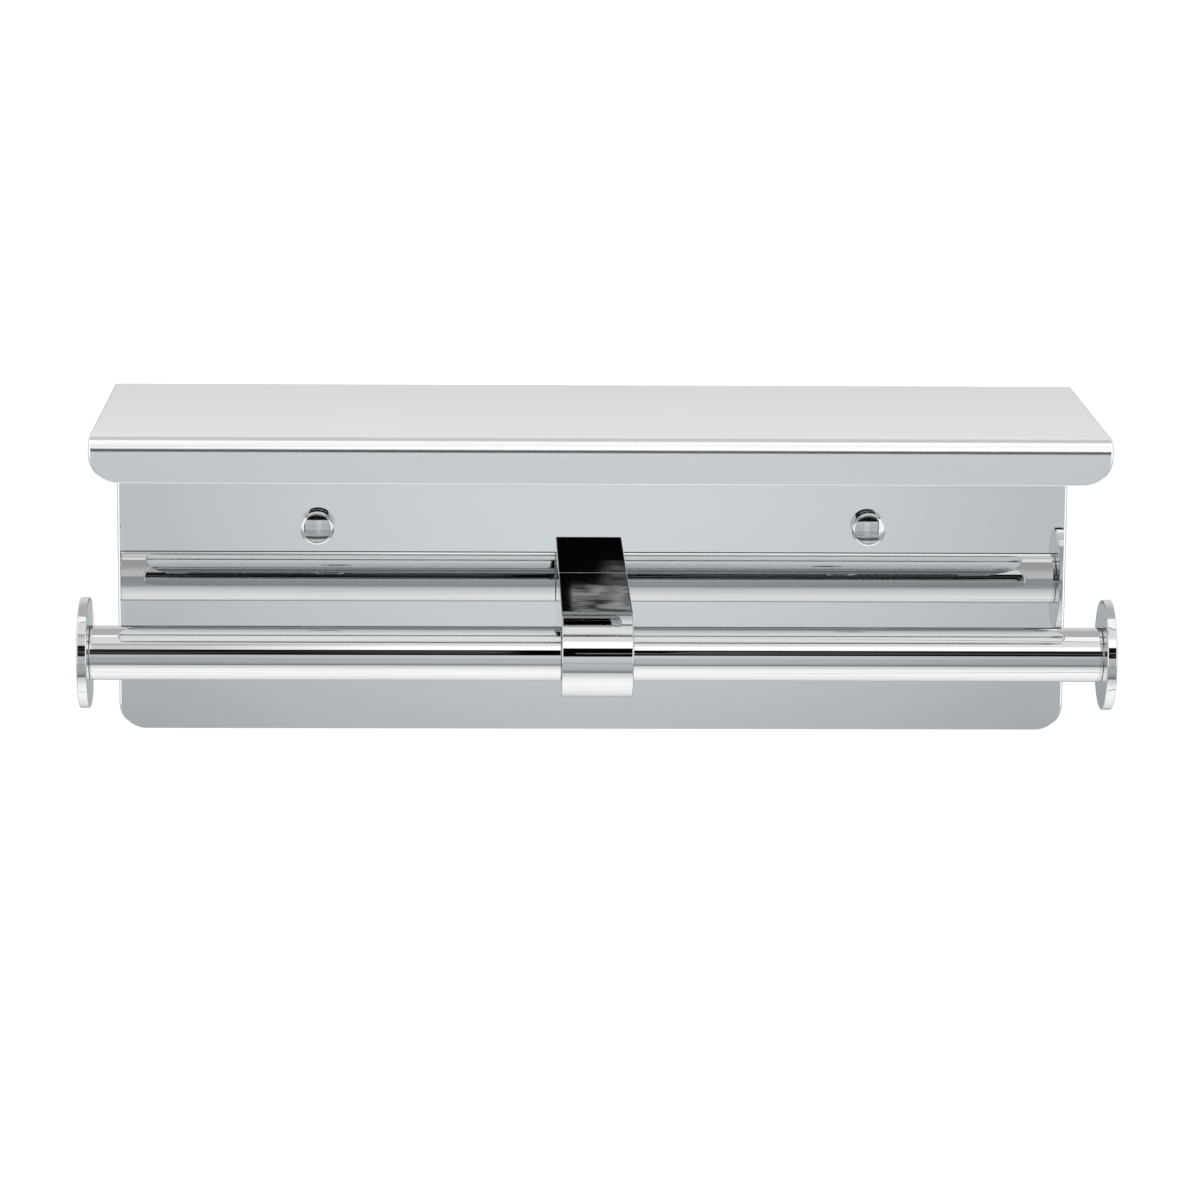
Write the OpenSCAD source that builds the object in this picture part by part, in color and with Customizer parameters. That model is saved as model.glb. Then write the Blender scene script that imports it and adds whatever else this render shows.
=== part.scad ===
// Wall-mounted shelf with two bars on one central arm.
// Origin: midway between the two wall fixings, on the wall plane. +Z is up and the front faces -Y.

/* [Panel] */
// Width of the folded panel
panel_w = 290; // [260:1:330]
// Thickness of the panel's sheet
sheet_t = 2; // [1.8:0.1:2.5]
// Distance from the wall to the front of the shelf's lip
shelf_d = 108; // [100:1:120]
// Height of the shelf's top face above the wall fixings
shelf_rise = 44; // [38:0.5:55]
// Distance from the wall fixings down to the panel's lower edge
panel_drop = 63.3; // [58:0.1:80]
// Height of the front lip
lip_h = 13; // [12:0.5:20]
// Inside radius of both folds
fold_r = 2.5; // [2:0.5:4]
// Radius of the lower corners of the panel and the lip
corner_r = 8; // [4:0.5:8]

/* [Bars] */
// Diameter of each bar
rod_d = 16; // [14:0.5:18]
// Wall thickness of each bar's tube
tube_t = 1.5; // [1:0.1:2]
// Distance from the wall to the bars' axis
rod_out = 63; // [58:0.5:70]
// Distance from the wall fixings down to the bars' axis
rod_drop = 27; // [24:0.5:34]
// Distance from the arm's middle to each end disc's inner face
rod_reach = 148.5; // [130:0.5:170]
// Diameter of each end disc
disc_d = 32.5; // [24:0.5:36]
// Thickness of each end disc
disc_t = 3; // [2.5:0.5:5]

/* [Arm] */
// Width of the arm
arm_w = 21; // [18:0.5:26]
// Height of the arm, which is also its nose's diameter
arm_h = 25.5; // [22:0.5:30]
// Wall thickness around the arm's two rear pockets
arm_wall = 2.5; // [2:0.5:3.5]
// Distance between the two screws that hold the arm
arm_screw_gap = 12; // [10:0.5:13]

/* [Wall fixings] */
// Distance between the two wall screws
fixing_gap = 168; // [120:1:200]
// Diameter of the wall screws' thread
wall_screw_d = 4; // [3.8:0.1:4.4]
// Length of thread behind the panel
wall_screw_l = 34; // [25:1:50]
// Diameter of the domed caps over the wall screws
cap_d = 10.4; // [10.4:0.1:14]
// Height of the caps in front of the panel
cap_h = 5; // [3.6:0.1:6]
// Rise of the caps' domed front
dome_rise = 0.6; // [0.4:0.1:1.2]
// Wall thickness of the caps
cap_t = 0.45; // [0.3:0.05:0.5]

/* [Hidden] */
$fn = 96;

// A cut runs this far past the face that it opens
over = 0.5;
LEFT = -1;
RIGHT = 1;

// Panel
fold_out_r = fold_r + sheet_t;
panel_face = -sheet_t;
fixing_x = fixing_gap / 2;
fixing_hole_r = 2.5;

// Arm and bars
rod_z = -rod_drop;
rod_r = rod_d / 2;
bore_r = rod_r - tube_t;
arm_side = arm_w / 2;
web_w = 7.5;
pocket_w = arm_side - arm_wall - web_w / 2;
pocket_end = rod_out - arm_h / 2 + arm_wall;

// Screws that hold the arm
arm_screw_r = 2;
arm_screw_head_r = 3.7;
arm_screw_l = 16;
arm_screw_hole_r = 2.3;
hex_2_5_r = 1.45;

// Stud through the arm, and the bars' inner inserts
tie_r = 4;
tie_hole_r = 4.1;
inner_insert_l = 14;
tie_l = 2 * (arm_side + inner_insert_l - 1);

// Spigot on the end discs, their set screws and the outer inserts
spigot_r = bore_r - 0.05;
spigot_l = 6;
outer_insert_l = 12;
disc_stud_r = 3;
disc_stud_l = 16;
disc_blind = 1.5;
edge_r = 0.4;
hex_3_r = 1.73;
hex_depth = 3;

// Cap bases and wall screws
base_r = cap_d / 2 - cap_t - 0.1;
base_t = 2;
screw_head_r = 3.8;
neck_r = 1.5;
screw_hole_r = wall_screw_d / 2 + 0.1;
point_l = 5;
point_r = 0.3;
cross_w = 0.9;
cross_l = 3.6;
cross_depth = 1.6;

// Caps: both faces of the dome are spheres about one centre, so the wall is even
cap_r = cap_d / 2;
dome_r = (cap_r * cap_r + dome_rise * dome_rise) / (2 * dome_rise);
cap_gap = 0.1;

STEEL = [0.76, 0.78, 0.79];
CHROME = [0.85, 0.86, 0.88];
ZINC = [0.62, 0.64, 0.66];
BRASS = [0.80, 0.66, 0.34];
NYLON = [0.92, 0.92, 0.90];

// Extrudes a 2-D outline along X, centred. The outline's x becomes Y, and its y becomes Z.
module along_x(length) {
    translate([-length / 2, 0, 0])
        rotate([90, 0, 90])
            linear_extrude(length) children();
}

// Extrudes a 2-D outline from y = start towards the front. The outline's y becomes Z.
module towards_front(start, length) {
    translate([0, start, 0])
        rotate([90, 0, 0])
            linear_extrude(length) children();
}

// Round bar along Y, from y = start towards the front
module bar_y(r, length, start) {
    towards_front(start, length) circle(r);
}

// Cone along Y: radius back_r at y = start, and front_r after length towards the front
module cone_y(back_r, front_r, length, start) {
    translate([0, start, 0])
        rotate([90, 0, 0])
            cylinder(r1 = back_r, r2 = front_r, h = length);
}

// Round bar along X between two distances from the middle, on the given side
module bar_x(r, from, to, side) {
    translate([side * (from + to) / 2, -rod_out, rod_z])
        rotate([0, 90, 0])
            cylinder(r = r, h = to - from, center = true);
}

// Flat tab that hangs down from its top edge at y = 0, with round lower corners
module tab(width, height) {
    side_h = height - corner_r;
    translate([-width / 2, -side_h]) square([width, side_h]);
    translate([corner_r - width / 2, -height]) square([width - 2 * corner_r, corner_r]);
    for (side = [LEFT, RIGHT])
        translate([side * (width / 2 - corner_r), -side_h])
            intersection() {
                circle(corner_r);
                mirror([side < 0 ? 1 : 0, 0]) translate([0, -corner_r]) square(corner_r);
            }
}

// Quarter of a ring: the section of one fold, towards the back (1) or the front (-1)
module fold(direction) {
    intersection() {
        difference() {
            circle(fold_out_r);
            circle(fold_r);
        }
        mirror([direction < 0 ? 1 : 0, 0]) square(fold_out_r);
    }
}

module arm_screw_at(level) {
    translate([0, 0, rod_z + level * arm_screw_gap / 2]) children();
}

module panel() color(STEEL) difference() {
    fold_z = shelf_rise - fold_out_r;
    union() {
        translate([0, 0, fold_z])
            towards_front(0, sheet_t) tab(panel_w, fold_z + panel_drop);
        translate([0, 0, fold_z])
            towards_front(sheet_t - shelf_d, sheet_t) tab(panel_w, lip_h - fold_out_r);
        along_x(panel_w)
            translate([fold_out_r - shelf_d, shelf_rise - sheet_t])
                square([shelf_d - 2 * fold_out_r, sheet_t]);
        along_x(panel_w) translate([-fold_out_r, fold_z]) fold(1);
        along_x(panel_w) translate([fold_out_r - shelf_d, fold_z]) fold(-1);
    }
    for (side = [LEFT, RIGHT])
        translate([side * fixing_x, 0, 0]) bar_y(fixing_hole_r, sheet_t + 2 * over, over);
    for (level = [-1, 1])
        arm_screw_at(level) {
            bar_y(arm_screw_hole_r, sheet_t + 2 * over, over);
            cone_y(arm_screw_head_r, arm_screw_r, arm_screw_head_r - arm_screw_r, 0);
        }
}

module support_arm() color(CHROME) difference() {
    translate([0, 0, rod_z]) along_x(arm_w) {
        translate([-rod_out, -arm_h / 2]) square([rod_out - sheet_t, arm_h]);
        translate([-rod_out, 0]) circle(arm_h / 2);
    }
    for (side = [LEFT, RIGHT])
        translate([side * (web_w + pocket_w) / 2, 0, rod_z])
            towards_front(panel_face + over, pocket_end - sheet_t + over)
                square([pocket_w, arm_h - 2 * arm_wall], center = true);
    for (level = [-1, 1])
        arm_screw_at(level) bar_y(arm_screw_r, arm_screw_l + over, panel_face + over);
    bar_x(tie_hole_r, -arm_side - over, arm_side + over, RIGHT);
}

// Countersunk screw, head flush with the panel's rear face, with a hexagon socket
module arm_screw(level) {
    head_h = arm_screw_head_r - arm_screw_r;
    color(ZINC) arm_screw_at(level) difference() {
        union() {
            cone_y(arm_screw_head_r, arm_screw_r, head_h, 0);
            bar_y(arm_screw_r, arm_screw_l - head_h, -head_h);
        }
        towards_front(over, 1.5 + over) circle(hex_2_5_r, $fn = 6);
    }
}

module upper_arm_screw() arm_screw(1);

module lower_arm_screw() arm_screw(-1);

module tie_stud() color(ZINC) bar_x(tie_r, -tie_l / 2, tie_l / 2, RIGHT);

module rod(side) color(CHROME) difference() {
    bar_x(rod_r, arm_side, rod_reach, side);
    bar_x(bore_r, arm_side - over, rod_reach + over, side);
}

module left_rod() rod(LEFT);

module right_rod() rod(RIGHT);

module inner_insert(side) color(BRASS) difference() {
    bar_x(bore_r, arm_side, arm_side + inner_insert_l, side);
    bar_x(tie_r, arm_side - over, arm_side + inner_insert_l + over, side);
}

module left_inner_insert() inner_insert(LEFT);

module right_inner_insert() inner_insert(RIGHT);

module outer_insert(side) color(BRASS) {
    end = rod_reach - spigot_l;
    difference() {
        bar_x(bore_r, end - outer_insert_l, end, side);
        bar_x(disc_stud_r, end - outer_insert_l - over, end + over, side);
    }
}

module left_outer_insert() outer_insert(LEFT);

module right_outer_insert() outer_insert(RIGHT);

// Disc with softened edges, and a spigot that fits inside the tube
module end_disc(side) color(CHROME) difference() {
    union() {
        translate([side * rod_reach, -rod_out, rod_z])
            rotate([0, side * 90, 0])
                rotate_extrude()
                    polygon([
                        [0, 0], [disc_d / 2 - edge_r, 0], [disc_d / 2, edge_r],
                        [disc_d / 2, disc_t - edge_r], [disc_d / 2 - edge_r, disc_t], [0, disc_t]
                    ]);
        bar_x(spigot_r, rod_reach - spigot_l, rod_reach + over, side);
    }
    bar_x(disc_stud_r, rod_reach - spigot_l - over, rod_reach + disc_t - disc_blind, side);
}

module left_end_disc() end_disc(LEFT);

module right_end_disc() end_disc(RIGHT);

// Set screw with a hexagon socket in its inner end
module disc_stud(side) color(ZINC) {
    end = rod_reach + disc_t - disc_blind;
    difference() {
        bar_x(disc_stud_r, end - disc_stud_l, end, side);
        translate([side * (end - disc_stud_l + hex_depth / 2), -rod_out, rod_z])
            rotate([0, 90, 0])
                cylinder(r = hex_3_r, h = hex_depth + 0.01, center = true, $fn = 6);
    }
}

module left_disc_stud() disc_stud(LEFT);

module right_disc_stud() disc_stud(RIGHT);

// Washer under the wall screw's head: the cap grips its rim
module cap_base(side) color(NYLON) translate([side * fixing_x, 0, 0]) difference() {
    bar_y(base_r, base_t, panel_face);
    bar_y(screw_hole_r, base_t + 2 * over, panel_face + over);
    cone_y(
        screw_hole_r, screw_head_r, screw_head_r - screw_hole_r,
        panel_face - base_t + screw_head_r - screw_hole_r
    );
}

module left_cap_base() cap_base(LEFT);

module right_cap_base() cap_base(RIGHT);

// Countersunk screw: head in the washer, thread and point behind the panel, cross recess
module wall_screw(side) {
    head_face = panel_face - base_t;
    head_h = screw_head_r - neck_r;
    thread_r = wall_screw_d / 2;
    color(ZINC) translate([side * fixing_x, 0, 0]) difference() {
        union() {
            cone_y(neck_r, screw_head_r, head_h, head_face + head_h);
            bar_y(neck_r, -head_face - head_h, 0);
            bar_y(thread_r, wall_screw_l - point_l, wall_screw_l - point_l);
            cone_y(point_r, thread_r, point_l, wall_screw_l);
        }
        for (turn = [0, 90])
            rotate([0, turn, 0])
                translate([-cross_l / 2, head_face - over, -cross_w / 2])
                    cube([cross_l, cross_depth + over, cross_w]);
    }
}

module left_wall_screw() wall_screw(LEFT);

module right_wall_screw() wall_screw(RIGHT);

// Domed cap, open towards the panel
module cap(side) {
    front = panel_face - cap_h;
    skirt_back = panel_face - cap_gap;
    dome_centre = front + dome_r;
    color(CHROME) translate([side * fixing_x, 0, 0]) difference() {
        intersection() {
            bar_y(cap_r, cap_h - cap_gap, skirt_back);
            translate([0, dome_centre, 0]) sphere(dome_r);
        }
        intersection() {
            bar_y(cap_r - cap_t, cap_h + over, skirt_back + over);
            translate([0, dome_centre, 0]) sphere(dome_r - cap_t);
        }
    }
}

module left_cap() cap(LEFT);

module right_cap() cap(RIGHT);

panel();
support_arm();
upper_arm_screw();
lower_arm_screw();
tie_stud();
left_rod();
right_rod();
left_inner_insert();
right_inner_insert();
left_outer_insert();
right_outer_insert();
left_end_disc();
right_end_disc();
left_disc_stud();
right_disc_stud();
left_cap_base();
right_cap_base();
left_wall_screw();
right_wall_screw();
left_cap();
right_cap();
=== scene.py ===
"""Looks of a wall-mounted double roll holder: a folded steel shelf, a chrome arm with two bars, and caps.

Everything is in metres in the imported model's frame: +Z is up, the front faces -Y, and the wall is y = 0.
"""
import math

import bmesh
import bpy
from mathutils import Matrix, Vector


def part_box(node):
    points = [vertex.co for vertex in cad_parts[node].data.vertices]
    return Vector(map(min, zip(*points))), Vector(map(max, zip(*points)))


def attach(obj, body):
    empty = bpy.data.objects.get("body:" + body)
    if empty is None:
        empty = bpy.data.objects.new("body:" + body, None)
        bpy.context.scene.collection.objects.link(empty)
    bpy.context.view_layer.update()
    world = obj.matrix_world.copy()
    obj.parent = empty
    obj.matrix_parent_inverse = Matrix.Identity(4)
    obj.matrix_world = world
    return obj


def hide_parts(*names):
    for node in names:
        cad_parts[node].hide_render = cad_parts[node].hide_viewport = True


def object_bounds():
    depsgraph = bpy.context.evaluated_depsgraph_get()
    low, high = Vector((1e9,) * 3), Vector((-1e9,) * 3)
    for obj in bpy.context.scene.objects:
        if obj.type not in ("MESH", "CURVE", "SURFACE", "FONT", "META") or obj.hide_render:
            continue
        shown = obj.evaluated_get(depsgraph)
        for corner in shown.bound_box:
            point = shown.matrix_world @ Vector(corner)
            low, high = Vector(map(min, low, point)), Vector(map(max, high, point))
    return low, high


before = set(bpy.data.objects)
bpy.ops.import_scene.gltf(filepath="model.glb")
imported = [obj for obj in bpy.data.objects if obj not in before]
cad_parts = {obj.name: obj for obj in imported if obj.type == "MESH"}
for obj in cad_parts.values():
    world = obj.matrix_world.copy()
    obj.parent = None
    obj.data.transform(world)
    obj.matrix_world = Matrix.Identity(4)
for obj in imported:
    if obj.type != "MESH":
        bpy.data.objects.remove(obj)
cad_low, cad_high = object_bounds()

MM = 0.001
SIDES = {"left": -1, "right": 1}
FRONT = (0, -1, 0)
REAR = (0, 1, 0)
RIGHT = (1, 0, 0)

# Sheet of the panel
SHEET_T = 2 * MM
FOLD_R = 2.5 * MM          # inside radius of both folds
LIP_H = 13 * MM
CORNER_R = 8 * MM
SHEET_EDGE_R = 0.3 * MM    # round of the long edges
SHEET_END_R = 0.85 * MM    # tumbled round of the end edges
FIXING_HOLE_R = 2.5 * MM
HOLE_CHAMFER = 0.25 * MM
CUTTER_OVERRUN = 1 * MM    # how far a cutter runs past the face it cuts

# Arm and its fastenings
ARM_EDGE_R = 0.45 * MM
ARM_REAR_R = 0.5 * MM
ARM_WALL = 2.5 * MM
ARM_WEB = 7.5 * MM
ARM_SCREW_R = 2 * MM
ARM_SCREW_ROOT_R = 1.6 * MM
ARM_SCREW_PITCH = 0.7 * MM
ARM_SCREW_HEAD_R = 3.7 * MM
ARM_SCREW_RIM = 0.15 * MM
ARM_SCREW_HOLE_R = 2.3 * MM
ARM_HEAD_CORE = 0.3 * MM   # how far the head's core runs on inside the thread
HEX_R = 1.45 * MM
HEX_DEPTH = 1.5 * MM
HEX_TIP = 0.4 * MM         # drill point below the hexagon
TIE_HOLE_R = 4.1 * MM
TIE_R = 4 * MM
TIE_ROOT_R = 3.35 * MM
TIE_PITCH = 1.25 * MM

# Bars and discs
TUBE_T = 1.5 * MM
TUBE_EDGE_R = 0.3 * MM
INSERT_EDGE = 0.3 * MM
SPIGOT_R = 6.45 * MM
SPIGOT_L = 6 * MM
SPIGOT_CHAMFER = 0.4 * MM
DISC_EDGE_R = 0.45 * MM
DISC_BLIND = 1.5 * MM
DISC_STUD_R = 3 * MM
DISC_STUD_ROOT_R = 2.5 * MM
DISC_STUD_PITCH = 1.0 * MM

# Caps and wall screws
CAP_T = 0.45 * MM
CAP_EDGE_R = 1.0 * MM
CAP_RIM = 0.1 * MM
DOME_RISE = 0.6 * MM
BASE_EDGE = 0.25 * MM
SCREW_HOLE_R = 2.1 * MM
SCREW_R = 2 * MM
SCREW_ROOT_R = 1.35 * MM
SCREW_PITCH = 1.8 * MM
SCREW_POINT = 6 * MM
SCREW_HEAD_R = 3.8 * MM
SCREW_RIM = 0.2 * MM
SCREW_NECK_R = 1.5 * MM
HEAD_CORE = 1 * MM         # how far the head's core runs on inside the thread
CROSS_W = 0.9 * MM
CROSS_L = 3.6 * MM
CROSS_DEPTH = 1.6 * MM
CROSS_TAPER = 0.55         # size at the bottom of the cross, as a share

# Shape of every thread, as shares
RIDGE_HALF = 0.28          # half of a ridge's foot, of the pitch
TIP_CORE = 0.12            # core at the point, of the root radius
TIP_RIDGE = 0.25           # ridge at the point, of its full height

# Steps of the round shapes
LATHE_STEPS = 128
CAP_STEPS = 96
SCREW_STEPS = 64
HOLE_STEPS = 48
NOSE_STEPS = 48
CORNER_STEPS = 14
EDGE_STEPS = 5
FOLD_STEPS = 20
DOME_STEPS = 16
INNER_DOME_STEPS = 12
THREAD_ROWS = 8            # rows in a turn of thread
ON_AXIS = 1e-9             # a smaller radius counts as none


# ---------------------------------------------------------------- mesh helpers

def arc(centre, radius, start, end, steps):
    """Points (a, b) on an arc, with angles in degrees, both ends included."""
    angles = [math.radians(start + (end - start) * i / steps) for i in range(steps + 1)]
    return [(centre[0] + radius * math.cos(t), centre[1] + radius * math.sin(t)) for t in angles]


def rounded(centre, radius, start, end, steps):
    """The same points as arc gives, each with its outward normal, for an outline."""
    normals = arc((0, 0), 1, start, end, steps)
    return [((centre[0] + radius * n[0], centre[1] + radius * n[1]), n) for n in normals]


def middle(node):
    """Middle of a CAD node's box."""
    low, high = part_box(node)
    return (low + high) / 2


def make_object(name, bm, sharp=40):
    """Turns a bmesh into an object with smooth shading, sharp only past the given angle."""
    bmesh.ops.remove_doubles(bm, verts=bm.verts, dist=1e-7)
    bmesh.ops.dissolve_degenerate(bm, edges=bm.edges, dist=1e-8)
    bmesh.ops.recalc_face_normals(bm, faces=bm.faces)
    mesh = bpy.data.meshes.new(name)
    bm.to_mesh(mesh)
    bm.free()
    obj = bpy.data.objects.new(name, mesh)
    bpy.context.scene.collection.objects.link(obj)
    shade(obj, sharp)
    return obj


def shade(obj, sharp):
    """Shades an object smooth, with edges sharper than the angle left sharp."""
    mesh = obj.data
    mesh.polygons.foreach_set("use_smooth", [True] * len(mesh.polygons))
    mesh.set_sharp_from_angle(angle=math.radians(sharp))
    weighted = obj.modifiers.new("even normals", "WEIGHTED_NORMAL")
    weighted.keep_sharp = True
    weighted.weight = 80


def cut(obj, *cutters, sharp=40):
    """Cuts the cutters out of obj, keeps the result as obj's own mesh, and removes the cutters."""
    obj.modifiers.clear()
    for cutter in cutters:
        cutter.modifiers.clear()
        boolean = obj.modifiers.new("cut", "BOOLEAN")
        boolean.operation = "DIFFERENCE"
        boolean.solver = "EXACT"
        boolean.object = cutter
    bpy.context.view_layer.update()
    graph = bpy.context.evaluated_depsgraph_get()
    mesh = bpy.data.meshes.new_from_object(obj.evaluated_get(graph), depsgraph=graph)
    obj.modifiers.clear()
    obj.data = mesh
    for cutter in cutters:
        bpy.data.objects.remove(cutter)
    shade(obj, sharp)


def towards(direction, place):
    """Matrix that puts a lathe's axis along the direction, starting at the place."""
    turn = Vector(direction).to_track_quat("Z", "X").to_matrix().to_4x4()
    return Matrix.Translation(place) @ turn


def lathe(name, profile, matrix, steps=LATHE_STEPS, sharp=40):
    """Turns a closed profile of (radius, height) points round the local Z axis."""
    bm = bmesh.new()
    rings = []
    for i in range(steps):
        t = 2 * math.pi * i / steps
        rings.append([bm.verts.new((r * math.cos(t), r * math.sin(t), h)) for r, h in profile])
    for i in range(steps):
        near, far = rings[i], rings[(i + 1) % steps]
        for j in range(len(profile)):
            k = (j + 1) % len(profile)
            if max(profile[j][0], profile[k][0]) > ON_AXIS:
                bm.faces.new((near[j], far[j], far[k], near[k]))
    bm.transform(matrix)
    return make_object(name, bm, sharp)


def slab(name, outline, half, edge, place):
    """Solid between two flat sides, with rounded edges.

    The second side and the round beside it have material 1, and the rest has material 0.
    outline: (point, outward normal) pairs in the plane, anticlockwise. place(a, b, w) gives the 3-D point.
    half: half of the thickness. edge(normal): radius of the edge's round, from the outward normal.
    """
    bm = bmesh.new()
    turns = [math.pi / 2 * i / EDGE_STEPS for i in range(EDGE_STEPS, -1, -1)]
    section = [(t, 1) for t in turns] + [(t, -1) for t in reversed(turns)]
    rings = []
    for t, side in section:
        ring = []
        for p, n in outline:
            r = edge(n)
            inset = r - r * math.cos(t)
            w = side * (half - r + r * math.sin(t))
            ring.append(bm.verts.new(place(p[0] - n[0] * inset, p[1] - n[1] * inset, w)))
        rings.append(ring)
    count = len(outline)
    for row, (upper, lower) in enumerate(zip(rings, rings[1:])):
        for i in range(count):
            j = (i + 1) % count
            face = bm.faces.new((upper[i], upper[j], lower[j], lower[i]))
            face.material_index = int(row > EDGE_STEPS)
    strip(bm, rings[0], 0)
    strip(bm, rings[-1], 1)
    return make_object(name, bm)


def strip(bm, ring, material_index):
    """Fills a ring that is symmetric end to end with cross strips, so folds across it stay clean."""
    count = len(ring)
    for i in range(count // 2 - 1):
        face = bm.faces.new([ring[i], ring[i + 1], ring[count - 2 - i], ring[count - 1 - i]])
        face.material_index = material_index


def threaded(name, outer, root, pitch, length, matrix, point=0, steps=32):
    """Rod along local Z with a helical thread. point: length of its tapered end."""
    bm = bmesh.new()
    rows = max(2, int(length / pitch * THREAD_ROWS))
    rings = []
    for row in range(rows + 1):
        h = length * row / rows
        taper = min(1, (length - h) / point) if point else 1
        core = root * (TIP_CORE + (1 - TIP_CORE) * taper)
        height = (outer - root) * min(1, h / pitch) * (TIP_RIDGE + (1 - TIP_RIDGE) * taper)
        ring = []
        for i in range(steps):
            t = 2 * math.pi * i / steps
            phase = (h / pitch - i / steps) % 1
            r = core + height * max(0, 1 - abs(phase - 0.5) / RIDGE_HALF)
            ring.append(bm.verts.new((r * math.cos(t), r * math.sin(t), h)))
        rings.append(ring)
    for near, far in zip(rings, rings[1:]):
        for i in range(steps):
            j = (i + 1) % steps
            bm.faces.new((near[i], near[j], far[j], far[i]))
    bm.faces.new(rings[0][::-1])
    bm.faces.new(rings[-1])
    bm.transform(matrix)
    return make_object(name, bm, sharp=60)


def join(name, *objects):
    """Joins meshes into one object."""
    bm = bmesh.new()
    for obj in objects:
        bm.from_mesh(obj.data)
        bpy.data.objects.remove(obj)
    mesh = bpy.data.meshes.new(name)
    bm.to_mesh(mesh)
    bm.free()
    joined = bpy.data.objects.new(name, mesh)
    bpy.context.scene.collection.objects.link(joined)
    shade(joined, 50)
    return joined


def block(size, matrix):
    """Mesh of a block of the given size, with its middle at the matrix's place."""
    bm = bmesh.new()
    bmesh.ops.create_cube(bm, size=1)
    bm.transform(matrix @ Matrix.Diagonal((*size, 1)))
    return bm


def box_cutter(low, high):
    low, high = Vector(low), Vector(high)
    return make_object("cutter", block(high - low, Matrix.Translation((low + high) / 2)))


# ---------------------------------------------------------------- node helpers

def put(tree, value, socket):
    """Links a value that comes from a node, and sets any other."""
    if isinstance(value, bpy.types.NodeSocket):
        tree.links.new(value, socket)
    else:
        socket.default_value = value


def node_maker(tree):
    """Function that adds a node to the tree, with its settings and inputs.

    An input is named by its label, with _ for a space, or by its number, such as _0.
    """
    def make(kind, settings=None, **inputs):
        node = tree.nodes.new(kind)
        for key, value in (settings or {}).items():
            setattr(node, key, value)
        for key, value in inputs.items():
            numbered = key[0] == "_" and key[1:].isdigit()
            put(tree, value, node.inputs[int(key[1:]) if numbered else key.replace("_", " ")])
        return node

    return make


def maths(make, operation, *values):
    inputs = {f"_{i}": value for i, value in enumerate(values)}
    return make("ShaderNodeMath", {"operation": operation}, **inputs).outputs[0]


def mixed(make, factor, a, b, blend="MIX"):
    """Colour a where the factor is 0, and b where it is 1."""
    return make("ShaderNodeMix", {"data_type": "RGBA", "blend_type": blend}, _0=factor, _6=a, _7=b).outputs[2]


def noise(make, coordinates, scale, stretch=(1, 1, 1), detail=2, rough=0.5):
    """Noise value in 0..1. scale: per metre, or per unit of a direction. stretch: factors on X, Y and Z."""
    place = make("ShaderNodeMapping", Vector=coordinates, Scale=stretch).outputs[0]
    return make("ShaderNodeTexNoise", Vector=place, Scale=scale, Detail=detail, Roughness=rough).outputs[0]


def ranged(make, value, low, high, from_low=0.3, from_high=0.7, interpolation="LINEAR"):
    """Maps a value from one range to low..high, and stops at its ends."""
    settings = {"clamp": True, "interpolation_type": interpolation}
    node = make("ShaderNodeMapRange", settings, _0=value, _1=from_low, _2=from_high, _3=low, _4=high)
    return node.outputs[0]


# ---------------------------------------------------------------- materials

HAZE_SCALE = 22            # noise scales are per metre
GRAIN_SCALE = 900
SCRATCH_SCALE = 2600
SCRATCH_STRETCH = (0.02, 1, 1)
WAVE_STRETCH = (0.5, 1, 1)
CLOUD_SCALE = 300
MOULDING_SCALE = 4000
MOULDING_DEPTH = 4e-6
EVEN = (1, 1, 1)
# Share of the tone that is painted shading along Y, where a metal asks for it
PAINTED_SHADING_SHARE = 0.8


def node_material(name):
    """New material, with its node tree, its Principled shader, a maker of nodes, and places on the object."""
    material = bpy.data.materials.new(name)
    material.use_nodes = True
    tree = material.node_tree
    shader = next(n for n in tree.nodes if n.type == "BSDF_PRINCIPLED")
    make = node_maker(tree)
    place = make("ShaderNodeTexCoord").outputs["Object"]
    return material, tree, shader, make, place


def bump(make, height, distance, normal=None):
    """Bump of the given depth, on top of another one's normal if there is one."""
    below = {"Normal": normal} if normal is not None else {}
    return make("ShaderNodeBump", Strength=1.0, Distance=distance, Height=height, **below).outputs[0]


def metal(name, colour, roughness, waviness, grain, grain_stretch=EVEN, dark=0.94, spread=1.0, wave_scale=60,
          painted_shading_ends=None):
    """Polished metal: long waves from polishing, fine grain, micro-scratches and a little handling haze.

    waviness, grain: depths in metres. dark: the dullest tone, as a share of the colour.
    spread: how much the roughness varies. wave_scale: waves per metre, about.
    The last argument gives the (dullest, brightest) places along Y of painted shading: the colour is made
    darker towards one end, standing in for how the light falls on the face.
    """
    material, tree, shader, make, place = node_material(name)
    haze = noise(make, place, HAZE_SCALE, detail=4)
    fine = noise(make, place, GRAIN_SCALE, grain_stretch, detail=3)
    scratch = noise(make, place, SCRATCH_SCALE, SCRATCH_STRETCH, detail=1)
    waves = noise(make, place, wave_scale, WAVE_STRETCH)
    share = ranged(make, haze, 0, 1)
    if painted_shading_ends:
        # Most of the tone is painted shading by the place along Y, and a fifth comes from the haze
        along = make("ShaderNodeSeparateXYZ", Vector=place).outputs[1]
        rise = ranged(make, along, 0, PAINTED_SHADING_SHARE, *painted_shading_ends)
        share = maths(make, "MULTIPLY_ADD", share, 1 - PAINTED_SHADING_SHARE, rise)
    dull = [c * dark for c in colour]
    put(tree, mixed(make, share, (*dull, 1), (*colour, 1)), shader.inputs["Base Color"])
    smoothest = roughness * (1 - 0.1 * spread)
    roughest = roughness * (1 + 0.3 * spread)
    scratched = ranged(make, scratch, smoothest, roughest, 0.45, 0.75)
    hazed = ranged(make, haze, 0, roughness * 0.2 * spread)
    put(tree, maths(make, "ADD", hazed, scratched), shader.inputs["Roughness"])
    put(tree, bump(make, fine, grain, bump(make, waves, waviness)), shader.inputs["Normal"])
    shader.inputs["Metallic"].default_value = 1
    return material


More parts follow.
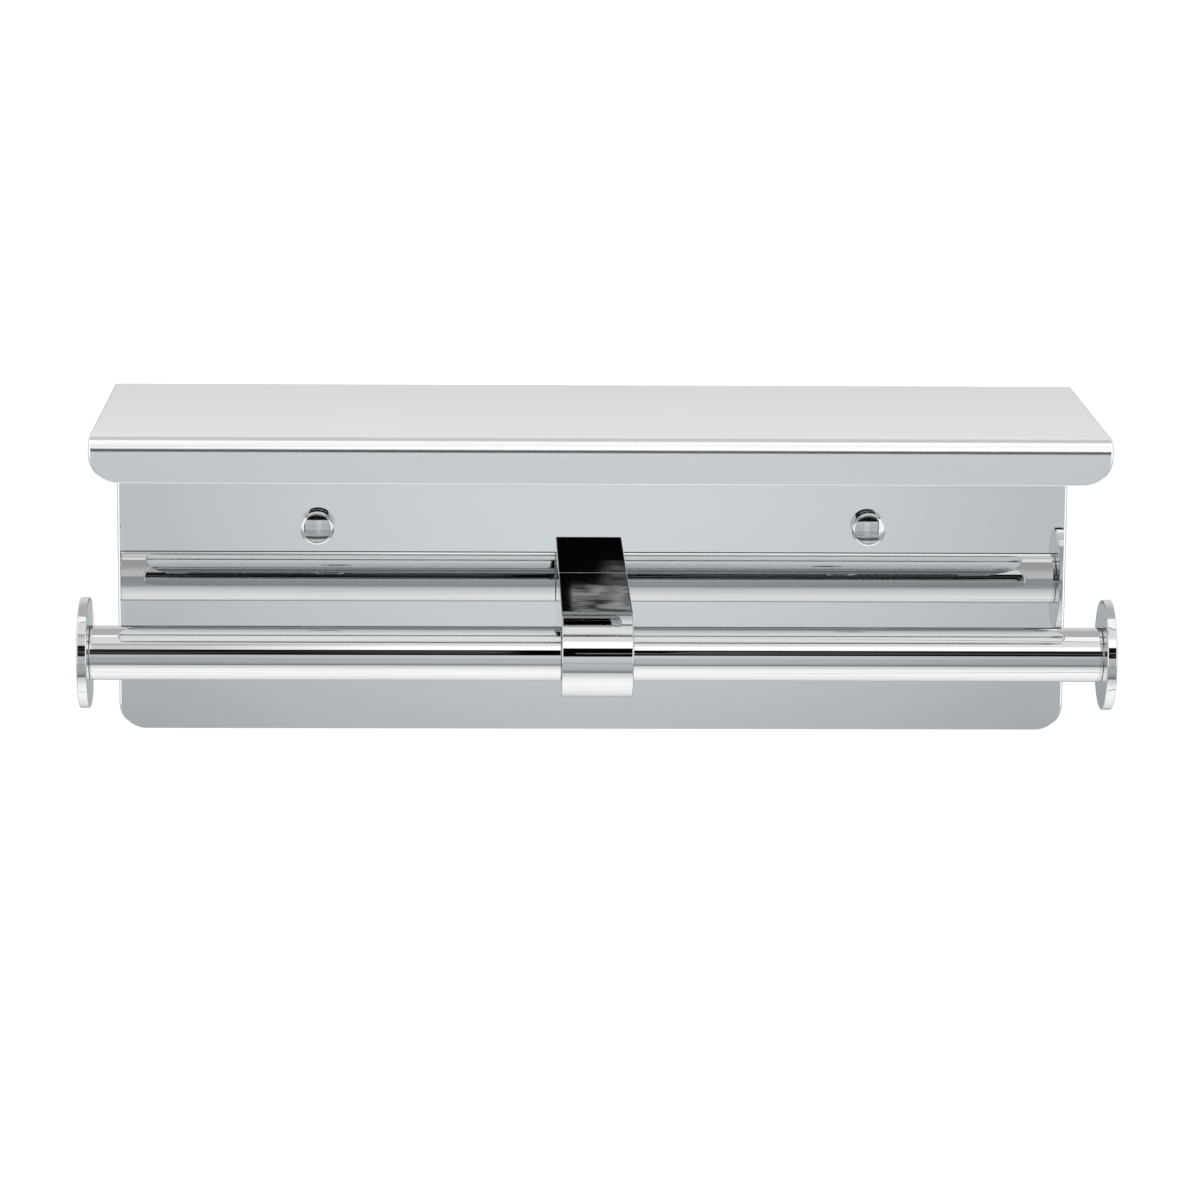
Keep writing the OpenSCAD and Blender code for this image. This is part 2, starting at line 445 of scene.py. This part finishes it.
def nylon():
    """Moulded nylon: milky, with a faint moulding texture."""
    material, tree, shader, make, place = node_material("moulded_nylon")
    cloud = noise(make, place, CLOUD_SCALE, detail=3)
    tone = mixed(make, ranged(make, cloud, 0, 1), (0.80, 0.80, 0.76, 1), (0.86, 0.86, 0.83, 1))
    put(tree, tone, shader.inputs["Base Color"])
    put(tree, ranged(make, cloud, 0.38, 0.5), shader.inputs["Roughness"])
    put(tree, bump(make, noise(make, place, MOULDING_SCALE), MOULDING_DEPTH), shader.inputs["Normal"])
    shader.inputs["Subsurface Weight"].default_value = 0.15
    shader.inputs["Subsurface Radius"].default_value = (0.001, 0.001, 0.0008)
    return material


# The satin face's colour carries painted shading: darker at the rear edge, lighter towards the front.
SATIN = metal("satin_steel_face", (0.865, 0.88, 0.89), 0.20, 1e-6, 6e-7, dark=0.87, spread=0.3,
              painted_shading_ends=(-0.005, -0.1))
POLISHED = metal("polished_steel_face", (0.767, 0.78, 0.785), 0.012, 5e-7, 1e-9, dark=0.99)
CHROME = metal("mirror_chrome", (0.65, 0.655, 0.66), 0.02, 1e-6, 1e-8, dark=0.985)
ARM_CHROME = metal("hand_polished_chrome", (0.65, 0.655, 0.66), 0.007, 4e-6, 5e-9, (0.2, 1, 1), dark=0.98,
                   wave_scale=100)
ZINC = metal("zinc_plate", (0.62, 0.63, 0.66), 0.32, 2e-6, 4e-7, dark=0.85)
BRASS = metal("turned_brass_insert", (0.80, 0.60, 0.30), 0.25, 1e-6, 6e-7, (6, 0.3, 0.3), dark=0.9)
NYLON = nylon()


# ---------------------------------------------------------------- pieces

def add_piece(obj, body, node, slot, *materials):
    """Gives a piece its materials, and makes it ride on a body and stand for a CAD node."""
    obj.data.materials.clear()
    for material in materials:
        obj.data.materials.append(material)
    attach(obj, body)
    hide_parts(node)


def folded(low, high):
    """Maps a flat point of the sheet onto the folded panel: (place function, stops, flat length).

    s runs up the plate, over the shelf and down the lip. stops: where each fold starts and ends along s.
    """
    middle_r = FOLD_R + SHEET_T / 2
    bend = middle_r * math.pi / 2
    outer_r = FOLD_R + SHEET_T
    fold_z = high.z - outer_r
    rise = fold_z - low.z
    run = (high.y - low.y) - 2 * outer_r
    stops = [rise, rise + bend, rise + bend + run, rise + 2 * bend + run]

    def place(x, s, w):
        if s <= stops[0]:
            return Vector((x, high.y - SHEET_T / 2 + w, low.z + s))
        if s <= stops[1]:
            t = (s - stops[0]) / middle_r
            r = middle_r + w
            return Vector((x, high.y - outer_r + r * math.cos(t), fold_z + r * math.sin(t)))
        if s <= stops[2]:
            return Vector((x, high.y - outer_r - (s - stops[1]), high.z - SHEET_T / 2 + w))
        if s <= stops[3]:
            t = (s - stops[2]) / middle_r
            r = middle_r + w
            return Vector((x, low.y + outer_r - r * math.sin(t), fold_z + r * math.cos(t)))
        return Vector((x, low.y + SHEET_T / 2 - w, fold_z - (s - stops[3])))

    return place, stops, stops[3] + LIP_H - outer_r


def sheet_edge(normal):
    """The sheet's edges are more rounded at its ends than along its front and its bottom."""
    return SHEET_EDGE_R + (SHEET_END_R - SHEET_EDGE_R) * abs(normal[0])


def panel():
    low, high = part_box("panel")
    place, stops, length = folded(low, high)
    half_w = (high.x - low.x) / 2
    corner_x = half_w - CORNER_R
    right = rounded((corner_x, CORNER_R), CORNER_R, -90, 0, CORNER_STEPS)
    for start, end in (stops[:2], stops[2:]):
        for i in range(FOLD_STEPS + 1):
            right.append(((half_w, start + (end - start) * i / FOLD_STEPS), (1, 0)))
    right += rounded((corner_x, length - CORNER_R), CORNER_R, 0, 90, CORNER_STEPS)
    left = [((-p[0], p[1]), (-n[0], n[1])) for p, n in reversed(right)]
    obj = slab("shelf_panel", right + left, SHEET_T / 2, sheet_edge, place)
    # The materials come before the holes, so that the cut faces keep theirs
    for material in (SATIN, POLISHED):
        obj.data.materials.append(material)
    cutters = []
    for side in SIDES:
        cutters.append(hole_cutter(middle(f"{side}_wall_screw"), FIXING_HOLE_R, HOLE_CHAMFER, HOLE_CHAMFER))
    for node in ("upper_arm_screw", "lower_arm_screw"):
        cutters.append(hole_cutter(middle(node), ARM_SCREW_HOLE_R, ARM_SCREW_HEAD_R - ARM_SCREW_HOLE_R, 0))
    cut(obj, *cutters, sharp=30)
    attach(obj, "rack")
    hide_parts("panel")


def hole_cutter(centre, radius, rear_chamfer, front_chamfer):
    """Cutter through the plate, from behind it to its front, with a chamfer on each face."""
    profile = [(0, -CUTTER_OVERRUN), (radius + rear_chamfer, -CUTTER_OVERRUN), (radius + rear_chamfer, 0),
               (radius, rear_chamfer), (radius, SHEET_T - front_chamfer)]
    if front_chamfer:
        profile.append((radius + front_chamfer, SHEET_T))
    profile += [(radius + front_chamfer, SHEET_T + CUTTER_OVERRUN), (0, SHEET_T + CUTTER_OVERRUN)]
    return lathe("cutter", profile, towards(FRONT, (centre.x, 0, centre.z)), HOLE_STEPS)


def support_arm():
    low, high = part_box("support_arm")
    half = (high.x - low.x) / 2
    radius = (high.z - low.z) / 2
    mid_z = (high.z + low.z) / 2
    nose_y = low.y + radius
    rear = high.y - ARM_REAR_R
    rear_rise = radius - ARM_REAR_R
    outline = rounded((rear, mid_z + rear_rise), ARM_REAR_R, 0, 90, EDGE_STEPS)
    outline += rounded((nose_y, mid_z), radius, 90, 270, NOSE_STEPS)
    outline += rounded((rear, mid_z - rear_rise), ARM_REAR_R, -90, 0, EDGE_STEPS)
    obj = slab("support_arm_bar", outline, half, lambda normal: ARM_EDGE_R, lambda y, z, w: Vector((w, y, z)))

    # Two pockets open to the rear, with a web between them
    pocket_y = low.y + 2 * radius - ARM_WALL
    pocket_rise = radius - ARM_WALL
    inner, outer = ARM_WEB / 2, half - ARM_WALL
    cutters = []
    for x_low, x_high in ((-outer, -inner), (inner, outer)):
        cutters.append(box_cutter((x_low, pocket_y, mid_z - pocket_rise),
                                  (x_high, high.y + CUTTER_OVERRUN, mid_z + pocket_rise)))
    reach = half + CUTTER_OVERRUN
    bore = [(0, -reach), (TIE_HOLE_R, -reach), (TIE_HOLE_R, reach), (0, reach)]
    cutters.append(lathe("cutter", bore, towards(RIGHT, (0, nose_y, mid_z)), HOLE_STEPS))
    cut(obj, *cutters)
    add_piece(obj, "rack", "support_arm", "arm_chrome", ARM_CHROME)


def bar(side):
    low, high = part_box(f"{side}_rod")
    centre = (low + high) / 2
    radius = (high.z - low.z) / 2
    bore = radius - TUBE_T
    length = high.x - low.x
    e = TUBE_EDGE_R
    profile = [(bore, 0)] + arc((radius - e, e), e, -90, 0, EDGE_STEPS)
    profile += arc((radius - e, length - e), e, 0, 90, EDGE_STEPS) + [(bore, length)]
    obj = lathe(f"{side}_bar", profile, towards(RIGHT, (low.x, centre.y, centre.z)))
    add_piece(obj, "rack", f"{side}_rod", "bar_chrome", CHROME)


def end_disc(side):
    """Disc with a spigot that fits the bar, and a blind hole for its stud."""
    low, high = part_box(f"{side}_end_disc")
    centre = (low + high) / 2
    radius = (high.z - low.z) / 2
    top = high.x - low.x
    e = DISC_EDGE_R
    profile = [(DISC_STUD_R, 0), (SPIGOT_R - SPIGOT_CHAMFER, 0), (SPIGOT_R, SPIGOT_CHAMFER)]
    profile.append((SPIGOT_R, SPIGOT_L))
    profile += arc((radius - e, SPIGOT_L + e), e, -90, 0, EDGE_STEPS)
    profile += arc((radius - e, top - e), e, 0, 90, EDGE_STEPS)
    profile += [(0, top), (0, top - DISC_BLIND), (DISC_STUD_R, top - DISC_BLIND)]
    outwards = SIDES[side]
    inner_x = low.x if outwards > 0 else high.x
    obj = lathe(f"{side}_disc", profile, towards((outwards, 0, 0), (inner_x, centre.y, centre.z)))
    add_piece(obj, "rack", f"{side}_end_disc", "bar_chrome", CHROME)


def cap(side):
    """Domed shell with a rounded edge, open at the rear."""
    low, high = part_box(f"{side}_cap")
    centre = (low + high) / 2
    radius = (high.x - low.x) / 2
    dome_r = (radius ** 2 + DOME_RISE ** 2) / (2 * DOME_RISE)
    dome_h = (high.y - low.y) - dome_r    # height of the dome's centre
    inner_r = radius - CAP_T
    inner_dome = dome_r - CAP_T
    e = CAP_EDGE_R
    # The round between skirt and dome: a circle that touches both
    edge_h = dome_h + math.sqrt((dome_r - e) ** 2 - (radius - e) ** 2)
    touch = math.degrees(math.atan2(edge_h - dome_h, radius - e))
    inner_touch = math.degrees(math.acos(inner_r / inner_dome))
    profile = [(inner_r, 0), (radius - CAP_RIM, 0), (radius, CAP_RIM)]
    profile += arc((radius - e, edge_h), e, 0, touch, EDGE_STEPS)
    profile += arc((0, dome_h), dome_r, touch, 90, DOME_STEPS)[1:]
    profile += arc((0, dome_h), inner_dome, 90, inner_touch, INNER_DOME_STEPS)
    obj = lathe(f"{side}_screw_cap", profile, towards(FRONT, (centre.x, high.y, centre.z)), CAP_STEPS)
    add_piece(obj, f"{side}_cover", f"{side}_cap", "cap_chrome", CHROME)


def cap_base(side):
    """Washer with a countersunk seat for the wall screw's head."""
    low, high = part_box(f"{side}_cap_base")
    centre = (low + high) / 2
    radius = (high.x - low.x) / 2
    thick = high.y - low.y
    seat = SCREW_HEAD_R - SCREW_HOLE_R
    profile = [(SCREW_HOLE_R, 0), (radius - BASE_EDGE, 0), (radius, BASE_EDGE), (radius, thick - BASE_EDGE),
               (radius - BASE_EDGE, thick), (SCREW_HEAD_R, thick), (SCREW_HOLE_R, thick - seat)]
    obj = lathe(f"{side}_nylon_washer", profile, towards(FRONT, (centre.x, high.y, centre.z)), CAP_STEPS)
    add_piece(obj, "rack", f"{side}_cap_base", "nylon_washer", NYLON)


def cross_cutter(place, turn):
    """One arm of a screw's driver cross, which tapers into the head."""
    matrix = Matrix.Translation(place) @ Matrix.Rotation(math.radians(turn), 4, "Y")
    bm = block((CROSS_L, 2 * CROSS_DEPTH, CROSS_W), matrix)
    for v in bm.verts:
        if v.co.y > place.y:
            v.co.x = place.x + (v.co.x - place.x) * CROSS_TAPER
            v.co.z = place.z + (v.co.z - place.z) * CROSS_TAPER
    return make_object("cutter", bm)


def wall_screw(side):
    low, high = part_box(f"{side}_wall_screw")
    centre = (low + high) / 2
    front = Vector((centre.x, low.y, centre.z))
    head_h = SCREW_HEAD_R - SCREW_NECK_R
    core_start = -low.y                   # where the neck meets the thread, at the wall
    core_end = core_start + HEAD_CORE
    profile = [(0, 0), (SCREW_HEAD_R - SCREW_RIM, 0), (SCREW_HEAD_R, SCREW_RIM), (SCREW_NECK_R, head_h),
               (SCREW_ROOT_R, core_start), (SCREW_ROOT_R, core_end), (0, core_end)]
    head = lathe("head", profile, towards(REAR, front), SCREW_STEPS)
    cut(head, cross_cutter(front, 0), cross_cutter(front, 90))
    at_wall = towards(REAR, (centre.x, 0, centre.z))
    shank = threaded("shank", SCREW_R, SCREW_ROOT_R, SCREW_PITCH, high.y, at_wall, SCREW_POINT)
    obj = join(f"{side}_fixing_screw", head, shank)
    add_piece(obj, "rack", f"{side}_wall_screw", "zinc_screw", ZINC)


def arm_screw(node):
    """Countersunk screw with a hexagon socket, from the plate's rear face into the arm."""
    low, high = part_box(node)
    centre = (low + high) / 2
    head_h = ARM_SCREW_HEAD_R - ARM_SCREW_R
    core_end = head_h + ARM_HEAD_CORE
    profile = [(0, 0), (ARM_SCREW_HEAD_R - ARM_SCREW_RIM, 0), (ARM_SCREW_HEAD_R, ARM_SCREW_RIM),
               (ARM_SCREW_R, head_h), (ARM_SCREW_ROOT_R, core_end), (0, core_end)]
    matrix = towards(FRONT, (centre.x, high.y, centre.z))
    head = lathe("head", profile, matrix, SCREW_STEPS)
    hexagon = [(0, -CUTTER_OVERRUN), (HEX_R, -CUTTER_OVERRUN), (HEX_R, HEX_DEPTH), (0, HEX_DEPTH + HEX_TIP)]
    cut(head, lathe("cutter", hexagon, matrix, steps=6), sharp=30)
    under_head = towards(FRONT, (centre.x, high.y - head_h, centre.z))
    shank = threaded("shank", ARM_SCREW_R, ARM_SCREW_ROOT_R, ARM_SCREW_PITCH, high.y - low.y - head_h,
                     under_head, steps=24)
    obj = join(f"{node}_countersunk", head, shank)
    add_piece(obj, "rack", node, "zinc_screw", ZINC)


def stud(node, name, outer, root, pitch):
    low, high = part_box(node)
    centre = (low + high) / 2
    start = towards(RIGHT, (low.x, centre.y, centre.z))
    obj = threaded(name, outer, root, pitch, high.x - low.x, start)
    add_piece(obj, "rack", node, "zinc_screw", ZINC)


def insert(node):
    """The CAD's own plug, with bevelled edges and its own material."""
    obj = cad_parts[node]
    obj.data.materials.clear()
    obj.data.materials.append(BRASS)
    bevel = obj.modifiers.new("turned edges", "BEVEL")
    bevel.width = INSERT_EDGE
    bevel.segments = 2
    bevel.angle_limit = math.radians(50)


panel()
support_arm()
for side in SIDES:
    bar(side)
    end_disc(side)
    cap(side)
    cap_base(side)
    wall_screw(side)
    stud(f"{side}_disc_stud", f"{side}_set_screw", DISC_STUD_R, DISC_STUD_ROOT_R, DISC_STUD_PITCH)
    insert(f"{side}_inner_insert")
    insert(f"{side}_outer_insert")
for node in ("upper_arm_screw", "lower_arm_screw"):
    arm_screw(node)
stud("tie_stud", "threaded_tie", TIE_R, TIE_ROOT_R, TIE_PITCH)


# ---------------------------------------------------------------- studio

CAMERA_PLACE = (-0.03315, -1.46527, 0.26060)
CAMERA_TURN = (1.3867, 10.9552, -0.4072)    # pan to the right, tilt down and roll, in degrees
CAMERA_LENS = 146.072                       # mm
CAMERA_SENSOR = 36                          # mm
FLOOR_HALF = 30
FLOOR_DROP = 0.25          # how far the floor lies below the object
RAMP_GAIN = 2.0            # a colour ramp holds 0..1, so its colours are divided by this
PLAIN = (1, 1, 1)
COOL = (0.955, 1.0, 1.025)
BLACK = (0, 0, 0, 1)
WHITE = (1, 1, 1, 1)
WHITE_PANEL = (1.4, 1.4, 1.4, 1)
GREY_BOARD = (0.3, 0.31, 0.32, 1)    # laid over the white panels in part, so it looks lighter
DARK_FRAME = (0.06, 0.06, 0.06, 1)

# What a mirror sees by elevation in degrees, as (elevation, brightness, tint), from the bottom up.
# In front: a white floor, the board's dark foot, the grey board, a dark gap, a softbox and the ceiling.
# The levels were judged against the bands that the photograph's chrome shows.
FRONT_STOPS = [
    (-90, 1.42, PLAIN), (-72, 1.42, PLAIN), (-58, 1.28, PLAIN), (-54, 1.14, PLAIN), (-44, 0.88, COOL),
    (-41.5, 0.83, COOL), (-40.5, 0.30, COOL), (-38, 0.30, COOL), (-36, 0.48, COOL), (-30, 0.63, COOL),
    (-25, 0.70, COOL), (-17, 0.72, COOL), (-13.5, 0.62, COOL), (-12.5, 0.62, COOL), (-11, 0.80, COOL),
    (-10, 0.835, COOL), (-8, 0.81, COOL), (-4, 0.82, COOL), (0, 0.9, COOL), (3, 0.9, COOL),
    (3.8, 0.01, PLAIN), (8, 0.002, PLAIN), (25, 0.002, PLAIN), (26.5, 1.6, PLAIN), (40, 1.6, PLAIN),
    (46, 1.08, PLAIN), (86, 1.0, PLAIN), (90, 0.75, PLAIN)]
# Behind: the floor, a duller backdrop, and a lighter upper wall
BACK_STOPS = [
    (-90, 1.42, PLAIN), (-60, 1.13, PLAIN), (-45, 0.95, COOL), (-38, 0.62, COOL), (-30, 0.55, COOL),
    (3, 0.50, COOL), (6, 0.62, PLAIN), (9, 0.82, PLAIN), (12, 0.92, PLAIN), (30, 0.88, PLAIN),
    (45, 0.75, PLAIN), (55, 0.62, PLAIN), (85, 0.62, PLAIN), (90, 0.75, PLAIN)]

BOARD_ELEVATIONS = (-41.0, 3.0)
BOARD_MIDDLE = 1.3         # azimuth of its brightest place
BOARD_SPREAD = 11.0        # degrees in which its brightness falls off
BOARD_DULLEST = 0.8
SOFTBOX_ELEVATIONS = (25.0, 50.0)
SOFTBOX_FADE = (-4.5, -1.2)    # azimuths between which it dims
SOFTBOX_DULLEST = 0.55

# Stretches of elevation or azimuth, as (low, high, softness) in degrees
GLOW_ELEVATIONS = (7, 20, 2.0)
ARM_AZIMUTHS = (0.3, 2.4, 0.2)
FRONT_AZIMUTHS = (-21, 18.5, 0.3)
FRAME_AZIMUTHS = (-22.3, 19.8, 0.3)
SIDE_AZIMUTHS = (-110, 110, 12)

# Areas: a stretch of elevation, and one of azimuth. The two boards stand on both sides.
STRONG_GLEAM = ((10.79, 13.0, 0.03), (1.03, 2.4, 0.02))
FAINT_GLEAM = ((10.55, 13.0, 0.06), (1.45, 2.4, 0.12))
FAINT_SHARE = 0.4
CORNER_BOARD = ((-42, -13, 2.0), (21, 72, 1.5))
SIDE_BOARD = ((-45, 40, 4.0), (70, 108, 3.0))


def floor():
    """Large pale floor under the object. Mirrors see the studio's own map in its place."""
    bm = bmesh.new()
    level = cad_low.z - FLOOR_DROP
    corners = ((-1, -1), (1, -1), (1, 1), (-1, 1))
    bm.faces.new([bm.verts.new((x * FLOOR_HALF, y * FLOOR_HALF, level)) for x, y in corners])
    obj = make_object("studio_floor", bm)
    obj.modifiers.clear()
    material, tree, shader, make, place = node_material("pale_floor")
    put(tree, ranged(make, noise(make, place, 3), 0.5, 0.6), shader.inputs["Roughness"])
    shader.inputs["Base Color"].default_value = (0.93, 0.93, 0.93, 1)
    shader.inputs["Specular IOR Level"].default_value = 0.0
    obj.data.materials.append(material)
    obj.visible_glossy = False


def ramp(make, elevation, stops):
    """Colour by elevation."""
    share = maths(make, "DIVIDE", maths(make, "ADD", elevation, 90.0), 180.0)
    node = make("ShaderNodeValToRGB", Fac=share)
    elements = node.color_ramp.elements
    while len(elements) < len(stops):
        elements.new(0.5)
    for element, (degrees, level, tint) in zip(elements, stops):
        element.position = (degrees + 90) / 180
        element.color = (*[level * t / RAMP_GAIN for t in tint], 1)
    return mixed(make, 1.0, node.outputs[0], (RAMP_GAIN, RAMP_GAIN, RAMP_GAIN, 1), "MULTIPLY")


def between(make, value, low, high, soft):
    """1 where low < value < high, in degrees, with soft edges."""
    up = ranged(make, value, 0.0, 1.0, low - soft, low + soft, "SMOOTHSTEP")
    down = ranged(make, value, 0.0, 1.0, high + soft, high - soft, "SMOOTHSTEP")
    return maths(make, "MULTIPLY", up, down)


def patch(make, elevation, azimuth, area):
    """1 inside an area of the mirrors' world, with soft edges."""
    heights, widths = area
    return maths(make, "MULTIPLY", between(make, elevation, *heights), between(make, azimuth, *widths))


def outside(make, value, low, high):
    """1 below low and above high, with sharp edges."""
    above = maths(make, "GREATER_THAN", value, low)
    below = maths(make, "LESS_THAN", value, high)
    return maths(make, "SUBTRACT", 1.0, maths(make, "MULTIPLY", above, below))


def front_picture(make, direction, elevation, azimuth):
    """What stands in front of the object, as its mirrors see it."""
    picture = ramp(make, elevation, FRONT_STOPS)
    # The board is brightest in its middle, where the light falls on it
    away = maths(make, "DIVIDE", maths(make, "SUBTRACT", azimuth, BOARD_MIDDLE), BOARD_SPREAD)
    falloff = maths(make, "EXPONENT", maths(make, "MULTIPLY", maths(make, "MULTIPLY", away, away), -1.0))
    lit = maths(make, "MAXIMUM", falloff, BOARD_DULLEST)
    lit = maths(make, "MAXIMUM", lit, outside(make, elevation, *BOARD_ELEVATIONS))
    picture = mixed(make, lit, BLACK, picture)
    # The softbox is dimmer towards its left end
    dim = ranged(make, azimuth, SOFTBOX_DULLEST, 1.0, *SOFTBOX_FADE)
    dim = maths(make, "MAXIMUM", dim, outside(make, elevation, *SOFTBOX_ELEVATIONS))
    picture = mixed(make, dim, BLACK, picture)
    # Faint shapes of the equipment in the dark gap above the board, but not in the line of the arm
    blotches = noise(make, direction, 9.0, (1, 1, 4), detail=3.0)
    glow = ranged(make, blotches, 0.0, 0.16, 0.5, 0.62)
    glow = maths(make, "MULTIPLY", glow, between(make, elevation, *GLOW_ELEVATIONS))
    beside_arm = maths(make, "SUBTRACT", 1.0, between(make, azimuth, *ARM_AZIMUTHS))
    picture = mixed(make, maths(make, "MULTIPLY", glow, beside_arm), picture, WHITE)
    # A strip of light in the gap, which the top of the arm picks up, with a fainter one under its right part
    ripples = noise(make, direction, 230.0, (1, 1, 7), rough=0.45)
    gleam = ranged(make, ripples, 0.0, 0.5, 0.40, 0.6)
    strong = patch(make, elevation, azimuth, STRONG_GLEAM)
    faint = maths(make, "MULTIPLY", patch(make, elevation, azimuth, FAINT_GLEAM), FAINT_SHARE)
    gleam = maths(make, "MULTIPLY", gleam, maths(make, "MAXIMUM", strong, faint))
    return mixed(make, gleam, picture, WHITE)


def side_picture(make, elevation, azimuth):
    """White panels at both sides, with grey boards, so a mirror seen from a corner isn't all white."""
    sideways = maths(make, "ABSOLUTE", azimuth)
    corner_board = patch(make, elevation, sideways, CORNER_BOARD)
    side_board = patch(make, elevation, sideways, SIDE_BOARD)
    deep = ranged(make, elevation, 0.9, 0.6, -40.0, -13.0)    # the boards are darker towards the floor
    grey = maths(make, "MULTIPLY", maths(make, "MAXIMUM", corner_board, side_board), deep)
    return mixed(make, grey, WHITE_PANEL, GREY_BOARD)


def studio():
    """World: plain white for the camera and matt surfaces, and a product-photo studio for mirrors."""
    world = bpy.data.worlds.new("studio")
    bpy.context.scene.world = world
    world.use_nodes = True
    world.node_tree.nodes.clear()
    make = node_maker(world.node_tree)
    direction = make("ShaderNodeTexCoord").outputs["Generated"]
    x, y, z = make("ShaderNodeSeparateXYZ", _0=direction).outputs
    elevation = maths(make, "DEGREES", maths(make, "ARCSINE", z))
    azimuth = maths(make, "DEGREES", maths(make, "ARCTAN2", x, maths(make, "MULTIPLY", y, -1.0)))

    picture = ramp(make, elevation, BACK_STOPS)
    sides = side_picture(make, elevation, azimuth)
    picture = mixed(make, between(make, azimuth, *SIDE_AZIMUTHS), picture, sides)
    picture = mixed(make, between(make, azimuth, *FRAME_AZIMUTHS), picture, DARK_FRAME)
    front = front_picture(make, direction, elevation, azimuth)
    picture = mixed(make, between(make, azimuth, *FRONT_AZIMUTHS), picture, front)

    for_mirrors = make("ShaderNodeLightPath").outputs["Is Glossy Ray"]
    seen = make("ShaderNodeBackground", Color=WHITE, Strength=1.2).outputs[0]
    mirrored = make("ShaderNodeBackground", Color=picture, Strength=1.0).outputs[0]
    both = make("ShaderNodeMixShader", _0=for_mirrors, _1=seen, _2=mirrored).outputs[0]
    make("ShaderNodeOutputWorld", Surface=both)


def camera():
    """Camera at the product photograph's angle: a long lens, a little above the object."""
    pan, tilt, roll = (math.radians(angle) for angle in CAMERA_TURN)
    forward = Vector((math.sin(pan) * math.cos(tilt), math.cos(pan) * math.cos(tilt), -math.sin(tilt)))
    level_right = Vector((math.cos(pan), -math.sin(pan), 0))
    level_down = forward.cross(level_right)
    right = level_right * math.cos(roll) + level_down * math.sin(roll)
    down = level_down * math.cos(roll) - level_right * math.sin(roll)
    turn = Matrix((right, -down, -forward)).transposed().to_4x4()
    data = bpy.data.cameras.new("camera")
    data.lens = CAMERA_LENS
    data.sensor_width = CAMERA_SENSOR
    data.clip_start = 0.05
    data.clip_end = 100
    obj = bpy.data.objects.new("camera", data)
    bpy.context.scene.collection.objects.link(obj)
    obj.matrix_world = Matrix.Translation(CAMERA_PLACE) @ turn
    bpy.context.scene.camera = obj


floor()
studio()
camera()
bpy.context.scene.view_settings.view_transform = "Standard"
